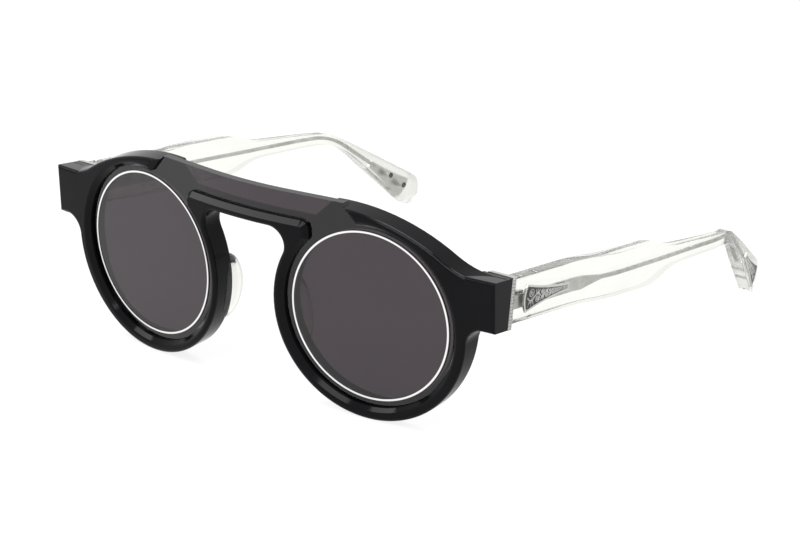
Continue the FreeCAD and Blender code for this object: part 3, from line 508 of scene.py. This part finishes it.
blade = {
    "middle": 68.6,
    "half": 2.0,
    "bowStart": 24.0,
    "bowEnd": 46.0,
    "bowOut": 2.2,
    "inStart": 92.0,
    "inRadius": 60.0,
    "inAngle": 13.5,
    "gap": 0.08,
    "height": 5.7,
    "shoulderStart": 57.0,
    "shoulderEnd": 76.0,
    "waistTop": 2.8,
    "waistBottom": 2.1,
    "bendStart": 101.5,
    "bendTop": 1.8,
    "bendBottom": 1.6,
    "topRadius": 19.0,
    "topAngle": 25.0,
    "lowRadius": 22.0,
    "lowAngle": 37.0,
    "tipEnd": 141.0,
    "tipDrop": 22.9,
    "tipHeel": 137.1,
    "rounds": (4.6, 3.3, 1.5),
    "roundSteps": 7,
    "heelRoom": 4.5,
    "edgeRound": 0.75,
    "edgeSteps": 4,
    "edgeProfile": 0.5,
    "thinStart": 60.0,
    "thinFull": 86.0,
    "thinEnd": 104.0,
    "thickAgain": 122.0,
    "thinShare": 0.34,
    "step": 1.5,
    "cutMargin": 0.0001,
    "weld": 0.02,
    "sharp": 35.0,
}


def ease(value, start, end):
    share = min(max((value - start) / (end - start), 0), 1)
    return share * share * (3 - 2 * share)


def planX(depth, offset):
    # distance from the middle plane of a line that keeps its offset from the temple's mid line
    run = (blade["bowEnd"] - blade["bowStart"]) / 2
    rise = blade["bowOut"] / 2
    radius = (run * run + rise * rise) / (2 * rise)
    bowed = blade["middle"] + blade["bowOut"]
    meet = blade["bowStart"] + run - offset * run / radius
    turnRadius = blade["inRadius"] + offset
    angle = math.radians(blade["inAngle"])
    turnEnd = blade["inStart"] + turnRadius * math.sin(angle)
    if depth <= blade["bowStart"]:
        return blade["middle"] + offset
    if depth <= meet:
        first = radius - offset
        return blade["middle"] + radius - math.sqrt(first * first - (depth - blade["bowStart"]) ** 2)
    if depth <= blade["bowEnd"]:
        second = radius + offset
        return bowed - radius + math.sqrt(second * second - (blade["bowEnd"] - depth) ** 2)
    if depth <= blade["inStart"]:
        return bowed + offset
    turnCentre = bowed - blade["inRadius"]
    if depth <= turnEnd:
        return turnCentre + math.sqrt(turnRadius * turnRadius - (depth - blade["inStart"]) ** 2)
    return turnCentre + turnRadius * math.cos(angle) - (depth - turnEnd) * math.tan(angle)


def thinning(depth):
    thin = ease(depth, blade["thinStart"], blade["thinFull"])
    thick = ease(depth, blade["thinEnd"], blade["thickAgain"])
    return 1 - blade["thinShare"] * (thin - thick)


def shoulderHeight(depth, waist):
    # S curve of two equal arcs from the blade's full height to the waist
    start = blade["shoulderStart"]
    run = (blade["shoulderEnd"] - start) / 2
    rise = (blade["height"] - waist) / 2
    radius = (run * run + rise * rise) / (2 * rise)
    if depth <= start + run:
        return blade["height"] - radius + math.sqrt(radius * radius - (depth - start) ** 2)
    return waist + radius - math.sqrt(radius * radius - (blade["shoulderEnd"] - depth) ** 2)


def sideHeight(depth, upper):
    waist = blade["waistTop"] if upper else blade["waistBottom"]
    bend = blade["bendTop"] if upper else blade["bendBottom"]
    sign = 1 if upper else -1
    if depth <= blade["shoulderStart"]:
        return sign * blade["height"]
    if depth <= blade["shoulderEnd"]:
        return sign * shoulderHeight(depth, waist)
    if depth <= blade["bendStart"]:
        share = (depth - blade["shoulderEnd"]) / (blade["bendStart"] - blade["shoulderEnd"])
        return sign * (waist + (bend - waist) * share)
    radius = blade["topRadius"] if upper else blade["lowRadius"]
    angle = math.radians(blade["topAngle"] if upper else blade["lowAngle"])
    centre = sign * bend - radius
    turnEnd = blade["bendStart"] + radius * math.sin(angle)
    if depth <= turnEnd:
        return centre + math.sqrt(radius * radius - (depth - blade["bendStart"]) ** 2)
    turnHeight = centre + radius * math.cos(angle)
    if upper:
        return turnHeight - (depth - turnEnd) * math.tan(angle)
    share = (depth - turnEnd) / (blade["tipHeel"] - turnEnd)
    return turnHeight + (-blade["tipDrop"] - turnHeight) * share


def roundedCorner(before, corner, after, radius):
    first = (Vector(before) - Vector(corner)).normalized()
    second = (Vector(after) - Vector(corner)).normalized()
    half = first.angle(second) / 2
    inward = (first + second).normalized()
    centre = Vector(corner) + inward * (radius / math.sin(half))
    start = Vector(corner) + first * (radius / math.tan(half)) - centre
    end = Vector(corner) + second * (radius / math.tan(half)) - centre
    points = []
    for index in range(blade["roundSteps"] + 1):
        share = index / blade["roundSteps"]
        points.append(centre + start.slerp(end, share).normalized() * radius)
    return points


def bladeOutline():
    start = blade["gap"]
    end = blade["tipEnd"]
    upperEnd = (end, sideHeight(end, True))
    endLow = (end, -blade["tipDrop"])
    heel = (blade["tipHeel"], -blade["tipDrop"])
    upper = [(start, blade["height"])]
    lower = [(start, -blade["height"])]
    depth = blade["shoulderStart"]
    while depth < blade["tipHeel"] - blade["heelRoom"]:
        upper.append((depth, sideHeight(depth, True)))
        lower.append((depth, sideHeight(depth, False)))
        depth += blade["step"]
    corners = roundedCorner(upper[-1], upperEnd, endLow, blade["rounds"][0])
    corners += roundedCorner(upperEnd, endLow, heel, blade["rounds"][1])
    corners += roundedCorner(endLow, heel, lower[-1], blade["rounds"][2])
    return upper + [tuple(point) for point in corners] + lower[::-1]


def makeTemple(word):
    side = sides[word]
    outline = bladeOutline()
    bm = bmesh.new()
    rings = []
    for offset in (-blade["half"], blade["half"]):
        rings.append([bm.verts.new((offset, depth, height)) for depth, height in outline])
    count = len(outline)
    caps = [bm.faces.new(rings[0]), bm.faces.new(rings[1][::-1])]
    for index in range(count):
        after = (index + 1) % count
        bm.faces.new((rings[0][index], rings[1][index], rings[1][after], rings[0][after]))
    rim = [edge for face in caps for edge in face.edges]
    bmesh.ops.bevel(bm, geom=rim, offset=blade["edgeRound"], segments=blade["edgeSteps"],
                    profile=blade["edgeProfile"], affect="EDGES", clamp_overlap=True)
    depth = blade["bowStart"] + blade["step"] / 2
    while depth < blade["tipEnd"]:
        geometry = bm.verts[:] + bm.edges[:] + bm.faces[:]
        bmesh.ops.bisect_plane(bm, geom=geometry, plane_co=(0, depth, 0), plane_no=(0, 1, 0),
                               dist=blade["cutMargin"])
        depth += blade["step"]
    bmesh.ops.remove_doubles(bm, verts=bm.verts, dist=blade["weld"])
    bmesh.ops.dissolve_degenerate(bm, edges=bm.edges, dist=blade["weld"])
    for vert in bm.verts:
        x, depth, height = vert.co
        vert.co.x = side["turn"] * planX(depth, x * thinning(depth))
    finishPiece(f"clear_temple_{word}", bm, templePlace, templeAcetate, side["body"],
                [f"temple_{word}"], blade["sharp"])


for word in sides:
    makeTemple(word)
print("clear temples made")


# Engraved plates: a raised border round a scroll in relief

scroll = {
    "bayShare": 1.05,
    "bayLeast": 0.8,
    "bayRest": 0.3,
    "vineShare": 0.30,
    "vineSamples": 22,
    "spiralPlace": 0.36,
    "spiralShare": 0.50,
    "spiralTurns": 1.9,
    "spiralTaper": 0.86,
    "spiralWidth": 0.8,
    "spiralSamples": 44,
    "leafShare": 0.86,
    "leafLeans": (-0.42, 0.0, 0.42),
    "leafFoot": 0.4,
    "leafWidth": 1.25,
    "leafTaper": 0.75,
    "leafSamples": 6,
    "fullHalf": 1.6,
    "finest": 0.45,
    "leastHalf": 0.1,
    "borderSlope": 1.3,
    "edgeRun": 2,
}


def addBay(points, start, step, sign, halfAt, width):
    # one bay of the scroll: a length of vine, a curl and a fan of three leaves
    for index in range(scroll["vineSamples"]):
        share = index / scroll["vineSamples"]
        along = start + step * share
        across = -sign * halfAt(along) * scroll["vineShare"] * math.sin(math.pi * share)
        points.append((along, across, width))
    centre = start + step / 2
    half = halfAt(centre)
    middle = sign * half * scroll["spiralPlace"]
    for index in range(scroll["spiralSamples"]):
        share = index / (scroll["spiralSamples"] - 1)
        angle = sign * (share * scroll["spiralTurns"] * 2 * math.pi - math.pi / 2)
        reach = min(half, step) * scroll["spiralShare"] * (1 - scroll["spiralTaper"] * share)
        points.append((centre + reach * math.cos(angle), middle + reach * math.sin(angle),
                       width * scroll["spiralWidth"]))
    foot = -sign * half * scroll["vineShare"]
    tip = -sign * half * scroll["leafShare"]
    for lean in scroll["leafLeans"]:
        for index in range(scroll["leafSamples"]):
            share = index / (scroll["leafSamples"] - 1)
            away = scroll["leafFoot"] + (1 - scroll["leafFoot"]) * share
            points.append((centre + lean * step * away, foot + (tip - foot) * share,
                           width * (scroll["leafWidth"] - scroll["leafTaper"] * share)))


def scrollPoints(length, halfAt, width):
    # a running scroll whose bays shorten as the plate narrows, as points with a width
    points = []
    start = 0.0
    sign = 1
    while start < length - scroll["bayRest"]:
        half = halfAt(start)
        step = max(half * scroll["bayShare"], scroll["bayLeast"])
        step = min(step, length - start)
        fine = width * min(max(half / scroll["fullHalf"], scroll["finest"]), 1)
        addBay(points, start, step, sign, halfAt, fine)
        start += step
        sign = -sign
    return points


def reliefHeight(along, across, edge, border, points):
    # 1 on the border and the tops of the scroll, 0 on the ground between them
    raised = 1 - ease(edge, border, border * scroll["borderSlope"])
    for x, y, width in points:
        dx = along - x
        dy = across - y
        if abs(dx) < width and abs(dy) < width:
            share = 1 - (dx * dx + dy * dy) / (width * width)
            if share > 0:
                raised = max(raised, math.sqrt(share))
    return raised


def plateSurface(plate):
    # places along and across the plate with their relief, and levels above its seat, on a grid
    wide = plate["wideHalf"]
    length = plate["length"]
    bulge = plate["bulgeRadius"]
    inner = plate["border"]

    def halfAt(along):
        share = min(max(along / length, 0), 1)
        return wide + (plate["narrowHalf"] - wide) * share - plate["hollow"] * 4 * share * (1 - share)

    def frontAt(across):
        if not bulge:
            return 0.0
        return math.sqrt(bulge * bulge - wide * wide) - math.sqrt(bulge * bulge - across * across)

    def innerHalf(along):
        return max(halfAt(along) - inner, scroll["leastHalf"])

    points = scrollPoints(length - 2 * inner, lambda along: innerHalf(along + inner), plate["vine"])
    points = [(x + inner, y, width) for x, y, width in points]
    columns, rows = plate["grid"]
    surface = {}
    for column in range(columns + 1):
        for row in range(rows + 1):
            share = 2 * row / rows - 1
            start = frontAt(share * wide)
            along = start + (length - start) * column / columns
            across = share * halfAt(along)
            edge = min(halfAt(along) - abs(across), along - start, length - along)
            raised = reliefHeight(along, across, edge, inner, points)
            level = plate["ground"] + (plate["top"] - plate["ground"]) * raised
            level -= plate["edgeRound"] * (1 - ease(edge, 0, plate["edgeRound"] * scroll["edgeRun"]))
            surface[column, row] = (along, across, level, raised)
    return surface


def makePlate(name, plate, surface, lift, body, replaced):
    # lift turns a place along and across the plate and a level above its seat into a point
    bm = bmesh.new()
    layer = bm.verts.layers.float.new(silver["reliefName"])
    columns, rows = plate["grid"]
    grid = {}
    for key, (along, across, level, raised) in surface.items():
        grid[key] = bm.verts.new(lift(along, across, level))
        grid[key][layer] = raised
    for column in range(columns):
        for row in range(rows):
            bm.faces.new((grid[column, row], grid[column + 1, row], grid[column + 1, row + 1],
                          grid[column, row + 1]))
    ring = [(column, 0) for column in range(columns)]
    ring += [(columns, row) for row in range(rows)]
    ring += [(column, rows) for column in range(columns, 0, -1)]
    ring += [(0, row) for row in range(rows, 0, -1)]
    foot = []
    for key in ring:
        along, across, level, raised = surface[key]
        vert = bm.verts.new(lift(along, across, plate["base"]))
        vert[layer] = 1.0
        foot.append(vert)
    for index, key in enumerate(ring):
        after = (index + 1) % len(ring)
        bm.faces.new((grid[key], foot[index], foot[after], grid[ring[after]]))
    bm.faces.new(foot)
    finishPiece(name, bm, templePlace, engravedSilver, body, replaced, plate["sharp"])


hingePlaque = {
    "start": 5.3,
    "length": 18.7,
    "wideHalf": 3.5,
    "narrowHalf": 0.9,
    "hollow": 0.5,
    "bulgeRadius": 6.0,
    "border": 0.42,
    "vine": 0.17,
    "grid": (160, 58),
    "base": 1.5,
    "ground": 2.08,
    "top": 2.34,
    "edgeRound": 0.12,
    "sharp": 60.0,
}

tipPlaque = {
    "start": 43.2,
    "length": 16.2,
    "wideHalf": 3.5,
    "narrowHalf": 1.0,
    "hollow": 0.37,
    "bulgeRadius": 9.0,
    "border": 0.42,
    "vine": 0.17,
    "grid": (140, 58),
    "base": 1.5,
    "ground": 2.08,
    "top": 2.34,
    "edgeRound": 0.12,
    "sharp": 60.0,
    "axisAngle": 33.0,
    "axisHeight": 5.1,
}

endBand = {
    "start": -6.75,
    "length": 13.0,
    "wideHalf": 0.74,
    "narrowHalf": 0.74,
    "hollow": 0.0,
    "bulgeRadius": 0.0,
    "border": 0.14,
    "vine": 0.24,
    "grid": (130, 16),
    "base": 70.3,
    "ground": 70.61,
    "top": 70.74,
    "edgeRound": 0.04,
    "sharp": 60.0,
    "depth": -0.75,
}


def hingeLift(turn):
    def lift(along, across, level):
        depth = hingePlaque["start"] + along
        return (turn * planX(depth, level), depth, across)
    return lift


def tipLift(turn):
    angle = math.radians(tipPlaque["axisAngle"])

    def lift(along, across, level):
        run = tipPlaque["start"] - along
        depth = blade["bendStart"] + run * math.cos(angle) + across * math.sin(angle)
        height = tipPlaque["axisHeight"] - run * math.sin(angle) + across * math.cos(angle)
        return (turn * planX(depth, level), depth, height)
    return lift


def bandLift(turn):
    def lift(along, across, level):
        return (turn * level, endBand["depth"] + across, endBand["start"] + along)
    return lift


hingeSurface = plateSurface(hingePlaque)
tipSurface = plateSurface(tipPlaque)
bandSurface = plateSurface(endBand)
for word, side in sides.items():
    turn = side["turn"]
    makePlate(f"engraved_hinge_plaque_{word}", hingePlaque, hingeSurface, hingeLift(turn),
              side["body"], [f"hinge_plaque_{word}"])
    makePlate(f"engraved_tip_plaque_{word}", tipPlaque, tipSurface, tipLift(turn),
              side["body"], [f"tip_plaque_{word}"])
    makePlate(f"end_plate_band_{word}", endBand, bandSurface, bandLift(turn), "front", [])
print("engraved plates made")


# Clear nose pads: a bulged section swept round the rim and drawn in towards both ends

nosePad = {
    "rimCentre": 36.0,
    "seat": (10.6, 1.6),
    "halfAngle": 21.5,
    "turn": -10.0,
    "columns": 28,
    "samples": 4,
    "endShare": 0.16,
    "section": ((10.5, -1.15), (8.6, -0.45), (7.55, 1.4), (7.95, 3.6), (9.5, 5.9), (11.1, 7.05),
                (12.2, 6.9), (12.6, 5.6), (12.5, 3.2), (12.45, 1.0), (11.7, -0.5)),
    "sharp": 70.0,
}


def curvePoint(before, start, end, after, share):
    # Catmull-Rom curve from start to end
    result = []
    for a, b, c, d in zip(before, start, end, after):
        result.append(0.5 * (2 * b + (c - a) * share + (2 * a - 5 * b + 4 * c - d) * share ** 2
                             + (3 * b - a - 3 * c + d) * share ** 3))
    return tuple(result)


def padSection():
    corners = nosePad["section"]
    count = len(corners)
    points = []
    for index in range(count):
        four = [corners[(index + step) % count] for step in (-1, 0, 1, 2)]
        for sample in range(nosePad["samples"]):
            points.append(curvePoint(*four, sample / nosePad["samples"]))
    return points


def makeNosePad(word):
    side = sides[word]
    section = padSection()
    seatX, seatY = nosePad["seat"]
    bm = bmesh.new()
    rings = []
    for column in range(nosePad["columns"] + 1):
        sweep = math.cos(math.pi * column / nosePad["columns"])
        angle = math.radians(nosePad["halfAngle"] * sweep + nosePad["turn"])
        size = max(math.sqrt(max(1 - sweep * sweep, 0)), nosePad["endShare"])
        ring = []
        for x, y in section:
            reach = nosePad["rimCentre"] - (seatX + (x - seatX) * size)
            depth = seatY + (y - seatY) * size
            ring.append(bm.verts.new((side["turn"] * (nosePad["rimCentre"] - reach * math.cos(angle)),
                                      depth, reach * math.sin(angle))))
        rings.append(ring)
    count = len(section)
    for lower, upper in zip(rings, rings[1:]):
        for index in range(count):
            after = (index + 1) % count
            bm.faces.new((lower[index], lower[after], upper[after], upper[index]))
    bm.faces.new(rings[0])
    bm.faces.new(rings[-1])
    finishPiece(f"clear_nose_pad_{word}", bm, frontPlace, clearAcetate, "front",
                [f"nose_pad_{word}"], nosePad["sharp"])


for word in sides:
    makeNosePad(word)
print("nose pads made")


# Rivet heads on the inner face of the temples

rivet = {
    "radius": 0.85,
    "dome": 0.22,
    "domeShape": ((1.0, 0.0), (1.0, 0.35), (0.9, 0.75), (0.75, 1.0)),
    "hole": 0.42,
    "holeDepth": 0.16,
    "holeShape": ((1.15, 0.0), (1.0, 0.275), (0.85, 1.0), (0.0, 1.15)),
    "sink": 0.04,
    "spots": ((9.5, 0.0), (16.1, 0.0)),
    "tipSpots": (33.6, 40.2),
    "ahead": 0.5,
    "segments": 28,
    "sharp": 30.0,
}


def rivetProfile():
    # shares of the head's radius and dome, then of the hole's radius and depth
    points = [(rivet["radius"] * across, rivet["dome"] * rise) for across, rise in rivet["domeShape"]]
    for across, fall in rivet["holeShape"]:
        points.append((rivet["hole"] * across, rivet["dome"] - rivet["holeDepth"] * fall))
    return [(radius, rise - rivet["sink"]) for radius, rise in points]


def addLathe(bm, centre, outward, first, second, profile, segments):
    rings = []
    for radius, rise in profile:
        if radius == 0:
            rings.append([bm.verts.new(centre + outward * rise)])
            continue
        ring = []
        for index in range(segments):
            angle = 2 * math.pi * index / segments
            ring.append(bm.verts.new(centre + outward * rise + first * (radius * math.cos(angle))
                                     + second * (radius * math.sin(angle))))
        rings.append(ring)
    for lower, upper in zip(rings, rings[1:]):
        for index in range(segments):
            after = (index + 1) % segments
            if len(upper) == 1:
                bm.faces.new((lower[index], lower[after], upper[0]))
            else:
                bm.faces.new((lower[index], lower[after], upper[after], upper[index]))
    bm.faces.new(rings[0][::-1])


def makeRivetHeads(word):
    side = sides[word]
    angle = math.radians(tipPlaque["axisAngle"])
    spots = list(rivet["spots"])
    for run in rivet["tipSpots"]:
        spots.append((blade["bendStart"] + run * math.cos(angle),
                      tipPlaque["axisHeight"] - run * math.sin(angle)))
    bm = bmesh.new()
    for depth, height in spots:
        further = depth + rivet["ahead"]
        here = Vector((planX(depth, -blade["half"]), depth, height))
        ahead = Vector((planX(further, -blade["half"]), further, height))
        first = (ahead - here).normalized()
        second = Vector((0, 0, 1))
        outward = second.cross(first).normalized()
        if outward.x > 0:
            outward = -outward
        for vector in (here, first, outward):
            vector.x *= side["turn"]
        addLathe(bm, here, outward, first, second, rivetProfile(), rivet["segments"])
    finishPiece(f"rivet_heads_{word}", bm, templePlace, rivetSteel, side["body"],
                (), rivet["sharp"])


for word in sides:
    makeRivetHeads(word)
print("rivet heads made")


# Floor, world, lamps

studio = {
    "floorHalf": 3.0,
    "floorColour": (0.9, 0.9, 0.9, 1),
    "floorRoughness": 0.9,
    "floorGlow": 0.86,
    "worldLight": 0.75,
    "white": (1, 1, 1, 1),
    "lampAim": (0, 0, 0.03),
}


def seenMask(tree):
    # 1 for what is seen directly, in a reflection or through something clear
    path = addNode(tree, "ShaderNodeLightPath")
    mask = path.outputs["Is Camera Ray"]
    for ray in ("Is Glossy Ray", "Is Transmission Ray"):
        either = addNode(tree, "ShaderNodeMath", operation="MAXIMUM")
        tree.links.new(mask, either.inputs[0])
        tree.links.new(path.outputs[ray], either.inputs[1])
        mask = either.outputs[0]
    return mask


def mixShaders(tree, mask, first, second, output):
    mix = addNode(tree, "ShaderNodeMixShader")
    tree.links.new(mask, mix.inputs["Fac"])
    tree.links.new(first.outputs[0], mix.inputs[1])
    tree.links.new(second.outputs[0], mix.inputs[2])
    tree.links.new(mix.outputs[0], output.inputs["Surface"])


def makeFloor():
    mesh = bpy.data.meshes.new("floor")
    half = studio["floorHalf"]
    corners = [(-half, -half, 0), (half, -half, 0), (half, half, 0), (-half, half, 0)]
    mesh.from_pydata(corners, [], [(0, 1, 2, 3)])
    floor = bpy.data.objects.new("floor", mesh)
    bpy.context.scene.collection.objects.link(floor)
    material, tree, shader = newMaterial("paleFloor")
    setSockets(shader, {
        "Base Color": studio["floorColour"], "Roughness": studio["floorRoughness"],
        "Specular IOR Level": 0.0})
    glow = addNode(tree, "ShaderNodeEmission", {"Color": studio["white"], "Strength": 1})
    share = addNode(tree, "ShaderNodeMath", {1: studio["floorGlow"]}, operation="MULTIPLY")
    tree.links.new(seenMask(tree), share.inputs[0])
    mixShaders(tree, share.outputs[0], shader, glow, tree.nodes["Material Output"])
    mesh.materials.append(material)


def makeWorld():
    world = bpy.data.worlds.new("studio")
    bpy.context.scene.world = world
    world.use_nodes = True
    tree = world.node_tree
    tree.nodes.clear()
    output = addNode(tree, "ShaderNodeOutputWorld")
    light = addNode(tree, "ShaderNodeBackground", {
        "Color": studio["white"], "Strength": studio["worldLight"]})
    backdrop = addNode(tree, "ShaderNodeBackground", {"Color": studio["white"], "Strength": 1})
    mixShaders(tree, seenMask(tree), light, backdrop, output)


lamps = {
    "key": {"place": (0.15, -0.55, 0.75), "size": 0.50, "power": 4.6},
    "fill": {"place": (-0.5, -0.34, 0.66), "size": 0.46, "power": 4.2},
    "top": {"place": (0.0, 0.2, 0.85), "size": 0.40, "power": 4.2},
}


def makeLamp(name, values):
    data = bpy.data.lights.new(name, "AREA")
    data.energy = values["power"]
    data.size = values["size"]
    lamp = bpy.data.objects.new(name, data)
    lamp.location = values["place"]
    aim = Vector(studio["lampAim"]) - lamp.location
    lamp.rotation_euler = aim.to_track_quat("-Z", "Y").to_euler()
    bpy.context.scene.collection.objects.link(lamp)


# the camera's place and directions in the front's own axes
view = {
    "place": (0.3465, -0.3972, 0.2219),
    "right": (0.7995, 0.6003, -0.0121),
    "forward": (-0.5584, 0.7360, -0.3826),
    "lens": 102.49,
    "sensor": 36,
    "nearest": 0.01,
    "farthest": 20,
}


def makeCamera():
    right = Vector(view["right"])
    forward = Vector(view["forward"])
    right = (right - forward * right.dot(forward) / forward.length_squared).normalized()
    forward.normalize()
    up = right.cross(forward)
    turn = Matrix((right, up, -forward)).transposed().to_4x4()
    data = bpy.data.cameras.new("camera")
    data.lens = view["lens"]
    data.sensor_width = view["sensor"]
    data.clip_start = view["nearest"]
    data.clip_end = view["farthest"]
    camera = bpy.data.objects.new("camera", data)
    camera.matrix_world = frontAxes @ Matrix.Translation(view["place"]) @ turn
    bpy.context.scene.collection.objects.link(camera)
    bpy.context.scene.camera = camera


makeFloor()
makeWorld()
for name, values in lamps.items():
    makeLamp(name, values)
makeCamera()
bpy.context.scene.view_settings.view_transform = "Standard"
print("studio set")
